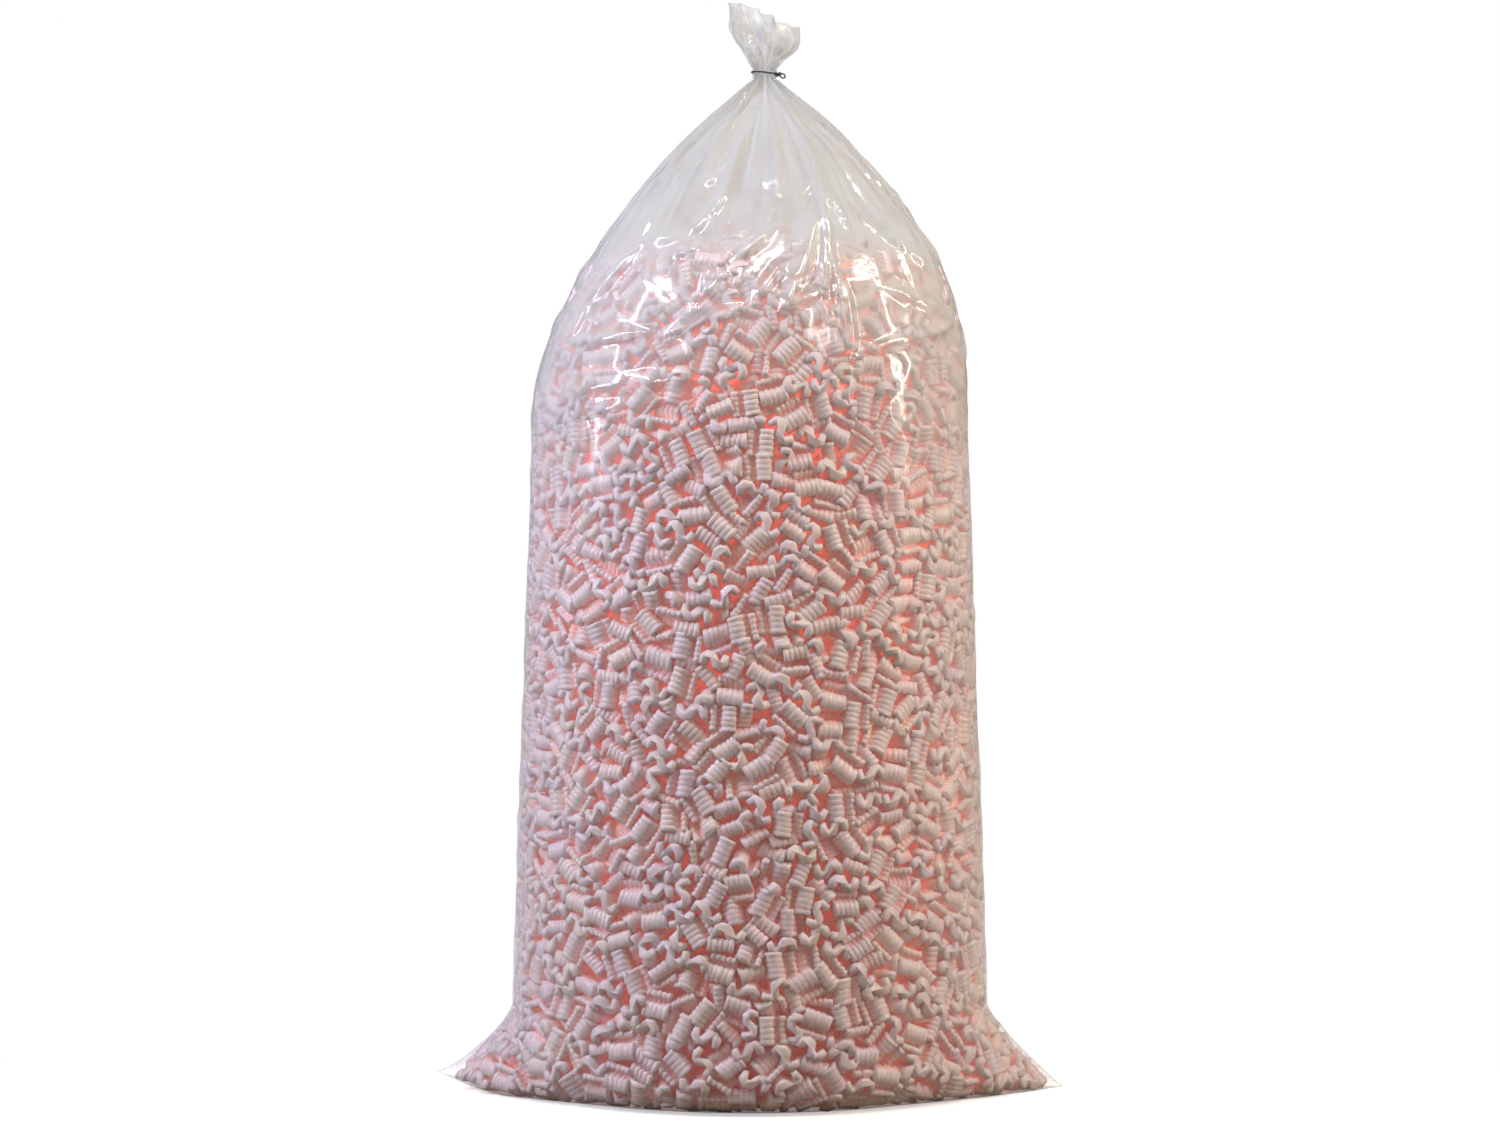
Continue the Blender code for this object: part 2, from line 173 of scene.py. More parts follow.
def bag_points(angle, height, pleated=True):
    """Points on the bag's outer face below the tie."""
    edge_rise = np.clip(height / FLOOR_EDGE_RADIUS, 0.0, 1.0)
    rounding = FLOOR_EDGE_RADIUS * (1 - np.sqrt(1 - (1 - edge_rise) ** 2))
    across = half_size(height, FOOT_WIDTH, BODY_TOP_WIDTH) - rounding
    deep = half_size(height, FOOT_DEPTH, BODY_TOP_DEPTH) - rounding
    from_end = np.abs(np.remainder(angle + math.pi / 2, math.pi) - math.pi / 2)
    hollow = np.clip(1 - height / EAR_HEIGHT, 0.0, 1.0) ** EAR_HOLLOW
    reach = (EAR_SPAN - FOOT_WIDTH) / 2 * hollow + rounding
    taper = np.clip(1 - from_end / EAR_HALF_ANGLE, 0.0, 1.0) ** EAR_TAPER
    across = across + reach * taper * (height < EAR_HEIGHT)
    rise = np.clip((height - BODY_TOP_HEIGHT) / (NECK_BOTTOM - BODY_TOP_HEIGHT), 0.0, 1.0)
    turned = angle
    if pleated:
        neck_share = NECK_PLEAT_DEPTH / NECK_RADIUS
        deepest = np.minimum(CONE_PLEAT_DEPTH * rise**CONE_PLEAT_FADE, neck_share * deep)
        depth = deepest * pleat(angle)
        across = across - depth
        deep = deep - depth
        turned = uneven(angle, rise**2)
    x = across * np.cos(turned)
    y = deep * np.sin(turned)
    return np.stack([x + axis_shift(height), y, height + ear_lift(x, height)], axis=-1)


def flare(share):
    """How far the gather above the tie has opened at a share of its height."""
    return np.sin(np.minimum(1.0, 1.5 * share) * math.pi / 2)


def ruffle_points(angle, share):
    """Points on the open gather above the tie; share runs from 0 at the neck to 1 at the rim."""
    rim = BAG_HEIGHT - RIM_DROP * (0.5 + 0.5 * np.cos(angle))
    depth = NECK_PLEAT_DEPTH + (RUFFLE_PLEAT_DEPTH - NECK_PLEAT_DEPTH) * share
    radius = NECK_RADIUS + (RUFFLE_RADIUS - NECK_RADIUS) * flare(share) - depth * pleat(angle)
    turned = uneven(angle, 1.0)
    x = radius * np.cos(turned) + NECK_SHIFT - RUFFLE_LEAN * share**2
    return np.stack([x, radius * np.sin(turned), NECK_TOP + (rim - NECK_TOP) * share], axis=-1)


def ripple(points, wavelength, count, seed):
    """A smooth random field over points in space, from -1 to 1 or so."""
    chance = np.random.default_rng(seed)
    headings = chance.normal(size=(count, 3))
    headings /= np.linalg.norm(headings, axis=1, keepdims=True)
    rates = headings * (2 * math.pi / (wavelength * chance.uniform(0.75, 1.35, size=(count, 1))))
    phases = chance.uniform(0, 2 * math.pi, size=count)
    total = np.zeros(points.shape[:-1])
    for rate, phase in zip(rates, phases):
        total += np.cos(points @ rate + phase)
    return total / math.sqrt(count / 2) / 1.5


def ripples(points, kinds):
    """Several ripples together; each has its height, wavelength, count of waves and seed."""
    return sum(rise * ripple(points, *kind) for rise, *kind in kinds)


def mesh_object(name, points, face_groups):
    """Makes an object from points and arrays of faces, each array holding faces of one size."""
    mesh = bpy.data.meshes.new(name)
    corners = np.concatenate([group.ravel() for group in face_groups]).astype(np.int32)
    sizes = np.concatenate([np.full(len(group), group.shape[1]) for group in face_groups])
    starts = np.concatenate([[0], np.cumsum(sizes)[:-1]]).astype(np.int32)
    mesh.vertices.add(len(points))
    mesh.vertices.foreach_set("co", np.ascontiguousarray(points, dtype=np.float32).ravel())
    mesh.loops.add(len(corners))
    mesh.loops.foreach_set("vertex_index", corners)
    mesh.polygons.add(len(sizes))
    mesh.polygons.foreach_set("loop_start", starts)
    mesh.polygons.foreach_set("use_smooth", np.full(len(sizes), True))
    mesh.update(calc_edges=True)
    mesh.validate()
    thing = bpy.data.objects.new(name, mesh)
    bpy.context.scene.collection.objects.link(thing)
    return thing


def wall_faces(index):
    """Four-sided faces between the rows of a grid of points that goes all the way round."""
    beside = np.roll(index, -1, axis=1)
    return np.stack([index[:-1], beside[:-1], beside[1:], index[1:]], axis=-1).reshape(-1, 4)


def add_values(thing, name, values):
    """Stores one number at each of a mesh's points, for its material to read."""
    attribute = thing.data.attributes.new(name, "FLOAT", "POINT")
    attribute.data.foreach_set("value", np.ascontiguousarray(values, dtype=np.float32).ravel())


def mean_radius(height):
    """The bag's mean radius at a height, for measuring along its face."""
    half_width = half_size(height, FOOT_WIDTH, BODY_TOP_WIDTH)
    half_depth = half_size(height, FOOT_DEPTH, BODY_TOP_DEPTH)
    return 0.5 * (half_width + half_depth)


def front_angle(x, height):
    """The angle on the bag's front face under a place in the front view."""
    across = float(half_size(np.float64(height), FOOT_WIDTH, BODY_TOP_WIDTH))
    share = (x - float(axis_shift(height))) / across
    return -math.acos(min(1.0, max(-1.0, share)))


def turned_by(angle):
    """An angle brought between -pi and pi."""
    return np.remainder(angle + math.pi, 2 * math.pi) - math.pi


def crease(angle, height, start, end, rise, left_width, right_width):
    """How far one crease lifts the film: a ridge with two flat slopes, narrowing to both ends.

    start and end are each an angle and a height; left_width is the width of the slope on the
    left, seen from start to end.
    """
    radius = mean_radius(height)
    middle_radius = float(mean_radius(np.float64(0.5 * (start[1] + end[1]))))
    run = float(turned_by(end[0] - start[0])) * middle_radius
    climb = end[1] - start[1]
    length = math.hypot(run, climb)
    side = turned_by(angle - start[0]) * (0.5 * radius + 0.5 * middle_radius)
    up = height - start[1]
    along = (side * run + up * climb) / length**2
    off = (up * run - side * climb) / length
    width = np.where(off > 0, left_width, right_width)
    ends = np.clip(np.minimum(along, 1 - along) / CREASE_TIP, 0.0, 1.0)
    slopes = (np.hypot(off, RIDGE_RADIUS) - RIDGE_RADIUS) / width
    return rise * np.maximum(ends - slopes, 0.0)


# Creases on the front, in the front view: x and z of both ends, the lift, the widths of the slopes
FRONT_CREASES = (
    (0.085, 1.245, 0.102, 1.115, 0.0060, 0.012, 0.008),
    (0.102, 1.125, 0.131, 0.925, 0.0070, 0.012, 0.007),
    (0.122, 1.090, 0.138, 0.965, 0.0050, 0.008, 0.010),
    (0.089, 1.205, 0.030, 1.024, 0.0100, 0.010, 0.022),
    (0.025, 1.028, 0.095, 1.064, 0.0080, 0.024, 0.008),
    (0.091, 1.200, 0.092, 1.050, 0.0070, 0.016, 0.008),
    (0.028, 1.250, 0.035, 1.186, 0.0055, 0.010, 0.008),
    (0.003, 1.222, 0.034, 1.200, 0.0050, 0.010, 0.008),
    (0.056, 1.190, 0.092, 1.210, 0.0050, 0.009, 0.008),
    (0.092, 1.190, 0.131, 1.178, 0.0045, 0.007, 0.010),
    (0.128, 1.184, 0.126, 1.150, 0.0040, 0.007, 0.008),
    (-0.066, 1.300, -0.116, 1.197, 0.0045, 0.008, 0.012),
    (-0.110, 1.208, -0.146, 1.134, 0.0045, 0.008, 0.010),
    (-0.138, 1.134, -0.217, 1.046, 0.0060, 0.010, 0.012),
    (-0.211, 1.056, -0.236, 1.004, 0.0045, 0.009, 0.009),
    (-0.034, 1.200, -0.060, 1.164, 0.0045, 0.008, 0.010),
    (-0.054, 1.174, -0.084, 1.136, 0.0040, 0.008, 0.008),
    (0.034, 1.151, -0.040, 1.095, 0.0060, 0.010, 0.010),
    (-0.033, 1.101, -0.061, 1.044, 0.0055, 0.009, 0.010),
    (-0.055, 1.115, -0.062, 1.040, 0.0050, 0.009, 0.007),
    (0.050, 1.114, -0.006, 1.038, 0.0050, 0.010, 0.012),
    (0.000, 1.046, -0.120, 1.000, 0.0055, 0.010, 0.014),
    (-0.244, 0.996, -0.124, 1.008, 0.0065, 0.018, 0.006),
    (-0.265, 0.932, -0.038, 0.945, 0.0075, 0.022, 0.007),
    (-0.226, 0.902, -0.070, 0.925, 0.0055, 0.016, 0.006),
    (-0.150, 1.131, -0.088, 1.136, 0.0045, 0.012, 0.007),
    (-0.102, 1.111, -0.066, 1.122, 0.0040, 0.010, 0.006),
    (0.170, 1.072, 0.272, 1.032, 0.0055, 0.012, 0.010),
    (0.128, 0.978, 0.274, 1.033, 0.0070, 0.018, 0.007),
    (0.172, 1.152, 0.248, 1.090, 0.0050, 0.010, 0.008),
    (0.150, 1.236, 0.216, 1.176, 0.0045, 0.008, 0.008),
    (0.208, 1.184, 0.268, 1.110, 0.0045, 0.008, 0.008),
    (0.136, 1.186, 0.180, 1.148, 0.0040, 0.008, 0.010),
    (-0.065, 1.208, -0.028, 1.240, 0.0040, 0.010, 0.008),
    (0.070, 0.906, 0.128, 0.938, 0.0060, 0.012, 0.006),
    (-0.264, 0.168, -0.236, 0.120, 0.0050, 0.006, 0.010),
    (-0.250, 0.154, -0.174, 0.108, 0.0055, 0.008, 0.010),
    (-0.297, 0.166, -0.278, 0.106, 0.0045, 0.006, 0.008),
    (-0.286, 0.116, -0.228, 0.084, 0.0045, 0.006, 0.008),
    (0.292, 0.160, 0.258, 0.090, 0.0050, 0.006, 0.010),
    (0.310, 0.120, 0.262, 0.070, 0.0045, 0.006, 0.008),
)

# Creases laid by chance: how many, the angles, the heights, the steepest slope, the lengths, the
# radius that turns a length into an angle (None for the bag's own), the lifts, the share of the
# lift that is kept beside the front, and the widths
CHANCE_CREASES = (
    # Hard ones round the shoulder of the sides and the back; the front has its own
    (60, (-0.25, math.pi + 0.25), (0.90, 1.24), 1.2, (0.05, 0.18), None, (0.0025, 0.0050), 0.4,
     (0.006, 0.022)),
    # Faint ones over the body, where the film lies on the peanuts
    (60, (-math.pi, math.pi), (0.16, 0.88), 1.5, (0.05, 0.14), 0.30, (0.0006, 0.0020), 1.0,
     (0.008, 0.016)),
    # Tight little ones near the floor, where the film turns under and runs out to the ears
    (60, (-math.pi, math.pi), (0.03, 0.13), 1.4, (0.03, 0.08), 0.31, (0.0012, 0.0035), 1.0,
     (0.006, 0.012)),
)
BESIDE_FRONT = math.pi - 0.35


def film_creases(angle, height):
    """How far all the creases together lift the film."""
    chance = np.random.default_rng(11)
    lift = np.zeros_like(height)
    for x0, z0, x1, z1, rise, left_width, right_width in FRONT_CREASES:
        start = (front_angle(x0, z0), z0)
        end = (front_angle(x1, z1), z1)
        lift += crease(angle, height, start, end, rise, left_width, right_width)
    # Long folds that fan out down the cone from the neck, all the way round
    for _ in range(54):
        place = chance.uniform(-math.pi, math.pi)
        top = chance.uniform(1.27, 1.36)
        length = chance.uniform(0.08, 0.26)
        drift = chance.uniform(-0.20, 0.20)
        rise = chance.uniform(0.0015, 0.0040)
        widths = chance.uniform(0.006, 0.014, size=2)
        lift += crease(angle, height, (place, top), (place + drift, top - length), rise, *widths)
    for count, angles, heights, steepest, lengths, radius, rises, kept, widths in CHANCE_CREASES:
        for _ in range(count):
            place = chance.uniform(*angles)
            middle = chance.uniform(*heights)
            slope = chance.uniform(-steepest, steepest)
            length = chance.uniform(*lengths)
            run = length * math.cos(slope) / (radius or float(mean_radius(np.float64(middle))))
            climb = length * math.sin(slope)
            rise = chance.uniform(*rises) * (kept if place > BESIDE_FRONT else 1.0)
            slopes = chance.uniform(*widths, size=2)
            far_end = (place + run, middle + climb)
            lift += crease(angle, height, (place, middle), far_end, rise, *slopes)
    return lift


def gathers(angle, height):
    """The fine pleats that run down from the neck, from -1 to 1 or so."""
    chance = np.random.default_rng(31)
    total = np.zeros_like(angle)
    for turns_round in (17, 23, 26, 31, 37, 44, 52):
        swing = chance.uniform(0.4, 1.4) * (height - 1.30) / 0.30
        phase = chance.uniform(0, 6.28)
        total += np.cos(turns_round * angle + phase + swing * chance.choice((-1, 1)))
    return total / 2.6


def floor_faces(points, ring):
    """Closes the bag's foot: triangles between its front and back edges, from ear to ear."""
    near = ring[: FRONT_COLUMNS + 1]
    far = np.concatenate([[ring[0]], ring[:FRONT_COLUMNS - 1:-1]])
    i, j, faces = 0, 0, []
    while i < len(near) - 1 or j < len(far) - 1:
        front_next = points[near[i + 1], 0] if i < len(near) - 1 else math.inf
        back_next = points[far[j + 1], 0] if j < len(far) - 1 else math.inf
        if front_next <= back_next:
            face = (near[i], far[j], near[i + 1])
            i += 1
        else:
            face = (near[i], far[j], far[j + 1])
            j += 1
        if len(set(face)) == 3:
            faces.append(face)
    return np.array(faces)


def film_lift(below, angle, height, folds, fan):
    """How far the film below the tie stands out from its plain form."""
    cone = ease((height - 1.04) / 0.12)
    lift = folds + GATHER_LIFT * fan
    for rise, *kind in SLACK_LIFTS:
        lift += rise * ripple(below * np.array(SLACK_STRETCH), *kind) * cone
    buckles = 0.5 - np.abs(ripple(below, BUCKLE_LENGTH, 26, 6))
    pressed = PRESSED_LIFT * ripple(below, PRESSED_LENGTH, 40, 5) + BUCKLE_LIFT * buckles
    lift += pressed * (1 - cone)
    lift = np.where(height < DIP_LIMIT_HEIGHT, np.maximum(lift, -DEEPEST_DIP), lift)
    at_neck = 1 - ease((height - 1.27) / (NECK_BOTTOM - 1.27)) * 0.88
    off_floor = ease(height / 0.03)
    return lift * at_neck * off_floor


def crumpled(above, share):
    """The points of the ruffle, filled out between its pleats and crumpled."""
    spread = ease(share / 0.35)
    crumple = ripples(above, CRUMPLE_LIFTS)
    middle = np.array([NECK_SHIFT, 0.0, 0.0])
    sideways = (above - middle) * np.array([1.0, 1.0, 0.0])
    reach = np.maximum(np.linalg.norm(sideways, axis=-1), 1e-9)
    sideways /= reach[..., None]
    filled = (RUFFLE_RADIUS * flare(share) * 0.97 - reach) * spread * RUFFLE_FULLNESS
    above = above + sideways * (crumple * spread + filled)[..., None]
    above[..., 2] += RIM_WAVE * ripple(above, 0.05, 20, 10) * share**3
    return above


def slack(below, height, x, width):
    """Where the film hangs loose at the shoulder, round one place: 1 there, 0 well away; the haze
    there is partly a painted sheen.
    """
    return np.exp(-((below[..., 0] - x) / width) ** 2 - ((height - 0.94) / 0.14) ** 2)


def film_haze(below, height, folds, fan):
    """How cloudy the film below the tie looks: clear where it lies on the peanuts, with painted
    highlights along the crease ridges.
    """
    cone = ease((height - 1.04) / 0.12)
    aside = ease((np.abs(below[..., 0] - 0.01) - 0.05) / 0.12)
    clear = 1 - ease((height - 0.910 + 0.050 * aside) / 0.20)
    streaks = 0.16 * fan + 0.10 * ripple(below, 0.10, 26, 12) * cone
    # Along the crease ridges the film is whiter: partly film whitened by the crease, partly a
    # painted highlight
    ridge_haze_and_highlight = np.clip(folds / 0.005, 0.0, 1.0) ** 3
    # Cloudier over both shoulders: partly film that hangs loose there, partly a painted sheen
    # where the side lamps fall
    shoulder_haze_and_sheen = 0.50 * slack(below, height, -0.24, 0.11) + 0.46 * slack(below, height, 0.25, 0.09)
    return (1 - clear) * (0.80 + streaks) + (0.20 + 0.25 * cone) * ridge_haze_and_highlight + shoulder_haze_and_sheen * clear


def make_film():
    """The bag: one thin sheet, closed at the floor and open at the rim of its ruffle."""
    heights = np.concatenate([
        np.linspace(0.0, 0.15, 25)[:-1],
        np.linspace(0.15, 0.88, 76)[:-1],
        np.linspace(0.88, 1.25, 100)[:-1],
        np.linspace(1.25, NECK_BOTTOM, 28),
    ])
    shares = np.linspace(0.0, 1.0, 27)
    front = -math.pi + math.pi * np.arange(FRONT_COLUMNS) / FRONT_COLUMNS
    angles = np.concatenate([front, math.pi * np.arange(BACK_COLUMNS) / BACK_COLUMNS])
    angle, height = np.meshgrid(angles, heights)
    below = bag_points(angle, height)
    around = np.roll(below, -1, axis=1) - np.roll(below, 1, axis=1)
    upward = np.gradient(below, axis=0)
    outward = np.cross(around, upward)
    outward /= np.maximum(np.linalg.norm(outward, axis=-1, keepdims=True), 1e-12)
    folds = film_creases(angle, height)
    fan = gathers(angle, height) * ease((height - 1.08) / 0.22)
    below = below + outward * film_lift(below, angle, height, folds, fan)[..., None]
    ruffle_angle, share = np.meshgrid(angles, shares)
    above = crumpled(ruffle_points(ruffle_angle, share), share)
    points = np.concatenate([below, above]).reshape(-1, 3)
    rows = len(heights) + len(shares)
    index = np.arange(rows * len(angles)).reshape(rows, len(angles))
    film = mesh_object("clear_bag", points, [wall_faces(index), floor_faces(points, index[0])])
    haze_above = 0.85 + 0.25 * ripple(above, 0.03, 20, 13)
    haze = np.concatenate([film_haze(below, height, folds, fan), haze_above])
    add_values(film, "haze", np.clip(haze, 0.0, 1.1))
    return film


class Wall:
    """Looks up how far any place is from the bag's inner face, and which way out is."""

    def __init__(self):
        self.heights = np.linspace(0.0, 1.36, 171)
        self.angles = np.linspace(-math.pi, math.pi, 361)
        around = np.linspace(-math.pi, math.pi, 1441)
        self.reach = np.empty((len(self.heights), len(self.angles)))
        for row, height in enumerate(self.heights):
            ring = bag_points(around, np.full_like(around, height), pleated=False)
            x = ring[:, 0] - axis_shift(height)
            bearing = np.arctan2(ring[:, 1], x)
            distance = np.hypot(x, ring[:, 1])
            order = np.argsort(bearing)
            bearing, distance = bearing[order], distance[order]
            self.reach[row] = np.interp(self.angles, bearing, distance, period=2 * math.pi)
        self.by_height = np.gradient(self.reach, self.heights, axis=0)
        self.by_angle = np.gradient(self.reach, self.angles, axis=1)

    def look_up(self, table, bearing, height):
        """A table's value between its rows and columns."""
        just_below_one = 0.99999
        climb = np.clip(height / self.heights[-1], 0.0, just_below_one)
        turn = np.clip((bearing + math.pi) / (2 * math.pi), 0.0, just_below_one)
        row = climb * (len(self.heights) - 1)
        column = turn * (len(self.angles) - 1)
        i = row.astype(int)
        j = column.astype(int)
        u = row - i
        v = column - j
        low = table[i, j] * (1 - v) + table[i, j + 1] * v
        high = table[i + 1, j] * (1 - v) + table[i + 1, j + 1] * v
        return low * (1 - u) + high * u

    def depth(self, places):
        """How deep each place lies below the film, and the outward direction there."""
        x = places[:, 0] - axis_shift(places[:, 2])
        y = places[:, 1]
        bearing = np.arctan2(y, x)
        distance = np.maximum(np.hypot(x, y), 1e-4)
        reach = self.look_up(self.reach, bearing, places[:, 2])
        lean = self.look_up(self.by_height, bearing, places[:, 2])
        swing = self.look_up(self.by_angle, bearing, places[:, 2]) / distance
        swing = np.clip(swing, -4.0, 4.0)
        steep = np.sqrt(1 + lean**2 + swing**2)
        out_x = (np.cos(bearing) + swing * np.sin(bearing)) / steep
        out_y = (np.sin(bearing) - swing * np.cos(bearing)) / steep
        outward = np.stack([out_x, out_y, -lean / steep], axis=-1)
        return (reach - distance) / steep, outward


def heap_surface(places):
    """The height of the heap's top over each place."""
    x = places[:, 0] - NECK_SHIFT
    return HEAP_TOP_HEIGHT - HEAP_DOME * (x**2 + places[:, 1] ** 2)


def even_spread(count, which):
    """Numbers from 0 to 1 that, taken in pairs, cover a square evenly but not in rows."""
    step = (0.7548776662, 0.5698402910)[which]
    return np.remainder(0.5 + step * np.arange(1, count + 1), 1.0)


def random_turns(chance, count):
    """Random rotation matrices."""
    q = chance.normal(size=(count, 4))
    q /= np.linalg.norm(q, axis=1, keepdims=True)
    w, x, y, z = q.T
    return np.stack([
        np.stack([1 - 2 * (y * y + z * z), 2 * (x * y - z * w), 2 * (x * z + y * w)], axis=-1),
        np.stack([2 * (x * y + z * w), 1 - 2 * (x * x + z * z), 2 * (y * z - x * w)], axis=-1),
        np.stack([2 * (x * z - y * w), 2 * (y * z + x * w), 1 - 2 * (x * x + y * y)], axis=-1),
    ], axis=1)


def small_turns(vectors):
    """Rotation matrices for rotation vectors."""
    amount = np.linalg.norm(vectors, axis=1)
    axis = vectors / np.maximum(amount, 1e-12)[:, None]
    x, y, z = axis.T
    zero = np.zeros_like(x)
    cross = np.stack([
        np.stack([zero, -z, y], axis=-1),
        np.stack([z, zero, -x], axis=-1),
        np.stack([-y, x, zero], axis=-1),
    ], axis=1)
    sine = np.sin(amount)[:, None, None]
    cosine = np.cos(amount)[:, None, None]
    return np.eye(3) + sine * cross + (1 - cosine) * (cross @ cross)


def touching_pairs(places, reach):
    """Pairs of places nearer to each other than reach, found through a grid of cells."""
    cells = np.floor(places / reach).astype(np.int64)
    cells -= cells.min(axis=0) - 1
    spans = cells.max(axis=0) + 2
    keys = (cells[:, 0] * spans[1] + cells[:, 1]) * spans[2] + cells[:, 2]
    order = np.argsort(keys, kind="stable")
    sorted_keys = keys[order]
    firsts, seconds = [], []
    steps = [(a, b, c) for a in (-1, 0, 1) for b in (-1, 0, 1) for c in (-1, 0, 1)]
    for step in steps:
        if step < (0, 0, 0):
            continue
        shift = (step[0] * spans[1] + step[1]) * spans[2] + step[2]
        left = np.searchsorted(sorted_keys, sorted_keys + shift, side="left")
        right = np.searchsorted(sorted_keys, sorted_keys + shift, side="right")
        if step == (0, 0, 0):
            left = np.arange(len(keys)) + 1
        most = int(np.max(right - left, initial=0))
        for k in range(most):
            here = np.nonzero(left + k < right)[0]
            firsts.append(order[here])
            seconds.append(order[left[here] + k])
    first = np.concatenate(firsts)
    second = np.concatenate(seconds)
    gap = places[second] - places[first]
    near = np.einsum("ij,ij->i", gap, gap) < reach**2
    return first[near], second[near]


def loose_lumps():
    """The round lumps of the loose peanuts that lie on the heap, which stay where they are."""
    lumps = []
    for name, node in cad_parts.items():
        if not name.startswith("loose_peanut"):
            continue
        corners = np.array([vertex.co for vertex in node.data.vertices])
        middle = corners.mean(axis=0)
        spread, axes = np.linalg.eigh(np.cov((corners - middle).T))
        order = np.argsort(spread)[::-1]
        long_axis, deep_axis = axes[:, order[0]], axes[:, order[1]]
        for a in (-1, 1):
            for b in (-1, 1):
                lumps.append(middle + long_axis * a * LUMP_ALONG + deep_axis * b * LUMP_ACROSS)
    return np.array(lumps)


def ring_places(bearing, distance, height, shift=0.0):
    """Places at bearings, distances and heights round an upright line at x = shift."""
    x = distance * np.cos(bearing) + shift
    return np.stack([x, distance * np.sin(bearing), height], axis=-1)


def first_places(wall, chance):
    """Where the peanuts start: two layers by the film, two on the heap's top, and the ears."""
    groups = []
    for count, inward in zip(WALL_PEANUTS, LAYER_DEPTHS):
        bearing = math.pi * (2 * even_spread(count, 0) - 1)
        height = LOWEST_MIDDLE + WALL_SPAN * even_spread(count, 1)
        distance = wall.look_up(wall.reach, bearing, height) - inward
        groups.append(ring_places(bearing, distance, height, axis_shift(height)))
    for count, below in zip(CROWN_PEANUTS, LAYER_DEPTHS):
        bearing = 2 * math.pi * even_spread(count, 0)
        distance = CROWN_RADIUS * np.sqrt(even_spread(count, 1))
        crown = ring_places(bearing, distance, 0 * bearing, NECK_SHIFT)
        crown[:, 2] = heap_surface(crown) - below
        groups.append(crown)
    for end in (0.0, math.pi):
        bearing = end + EAR_BEARING * (2 * even_spread(EAR_PEANUTS, 0) - 1)
        height = LOWEST_MIDDLE + EAR_LAYER * even_spread(EAR_PEANUTS, 1)
        reach = wall.look_up(wall.reach, turned_by(bearing), height)
        room = reach - (EAR_SPREAD_START + 0.012)
        distance = EAR_SPREAD_START + room * chance.uniform(size=EAR_PEANUTS)
        groups.append(ring_places(bearing, distance, height))
    return np.concatenate(groups)


def pushed_apart(lumps, owner):
    """How each lump is moved by the lumps of other peanuts that it runs into."""
    first, second = touching_pairs(lumps, 2 * LUMP_RADIUS)
    apart = owner[first] != owner[second]
    first, second = first[apart], second[apart]
    gap = lumps[second] - lumps[first]
    distance = np.maximum(np.linalg.norm(gap, axis=1), 1e-6)
    push = gap / distance[:, None] * (0.5 * (2 * LUMP_RADIUS - distance))[:, None]
    moves = np.zeros_like(lumps)
    for axis in range(3):
        moves[:, axis] -= np.bincount(first, push[:, axis], minlength=len(lumps))
        moves[:, axis] += np.bincount(second, push[:, axis], minlength=len(lumps))
    touches = np.bincount(first, minlength=len(lumps)) + np.bincount(second, minlength=len(lumps))
    return moves / np.maximum(1.0, 0.5 * touches)[:, None]


def kept_in(lumps, moves, wall, spreading):
    """The moves, with what keeps the lumps inside the bag, off its floor and near its skin."""
    depth, outward = wall.depth(lumps)
    shallow = LUMP_RADIUS + FILM_CLEARANCE - depth
    moves -= outward * np.maximum(shallow, 0.0)[:, None]
    floor = ear_lift(lumps[:, 0], 0.0) + LUMP_RADIUS + FILM_CLEARANCE
    moves[:, 2] += np.maximum(floor - lumps[:, 2], 0.0)
    above = lumps[:, 2] - (heap_surface(lumps) - LUMP_RADIUS)
    moves[:, 2] -= np.maximum(above, 0.0)
    below_top = heap_surface(lumps) - lumps[:, 2]
    too_deep = np.minimum(depth, below_top) - SHELL_DEPTH
    back = np.where((depth < below_top)[:, None], outward, np.array([0.0, 0.0, 1.0]))
    moves += back * (0.5 * np.maximum(too_deep, 0.0))[:, None]
    if spreading:
        moves += outward * (SPREADING_PUSH * ((depth < 0.05) & (shallow < -0.001)))[:, None]
    return moves


def settle_peanuts(wall):
    """Places the peanuts: spread evenly inside the film, then pushed apart by their lumps."""
    chance = np.random.default_rng(5)
    places = first_places(wall, chance)
    turns = random_turns(chance, len(places))
    fixed = loose_lumps()
    arms = np.array([[a * LUMP_ALONG, b * LUMP_ACROSS, 0.0] for a in (-1, 1) for b in (-1, 1)])
    owner = np.concatenate([np.repeat(np.arange(len(places)), 4), np.full(len(fixed), -1)])
    free = owner >= 0
    for step in range(SETTLING_STEPS):
        reach = np.einsum("nij,kj->nki", turns, arms).reshape(-1, 3)
        lumps = np.concatenate([np.repeat(places, 4, axis=0) + reach, fixed])
        moves = kept_in(lumps, pushed_apart(lumps, owner), wall, step < SPREADING_STEPS)
        moves = moves[free].reshape(-1, 4, 3)
        levers = reach.reshape(-1, 4, 3)
        places = places + MOVE_SHARE * moves.mean(axis=1)
        twist = np.cross(levers, moves).sum(axis=1) / np.sum(levers**2, axis=(1, 2))[:, None]
        size = np.linalg.norm(twist, axis=1)
        twist *= np.minimum(1.0, LARGEST_TWIST / np.maximum(size, 1e-9))[:, None]
        turns = small_turns(MOVE_SHARE * twist) @ turns
    return places, turns


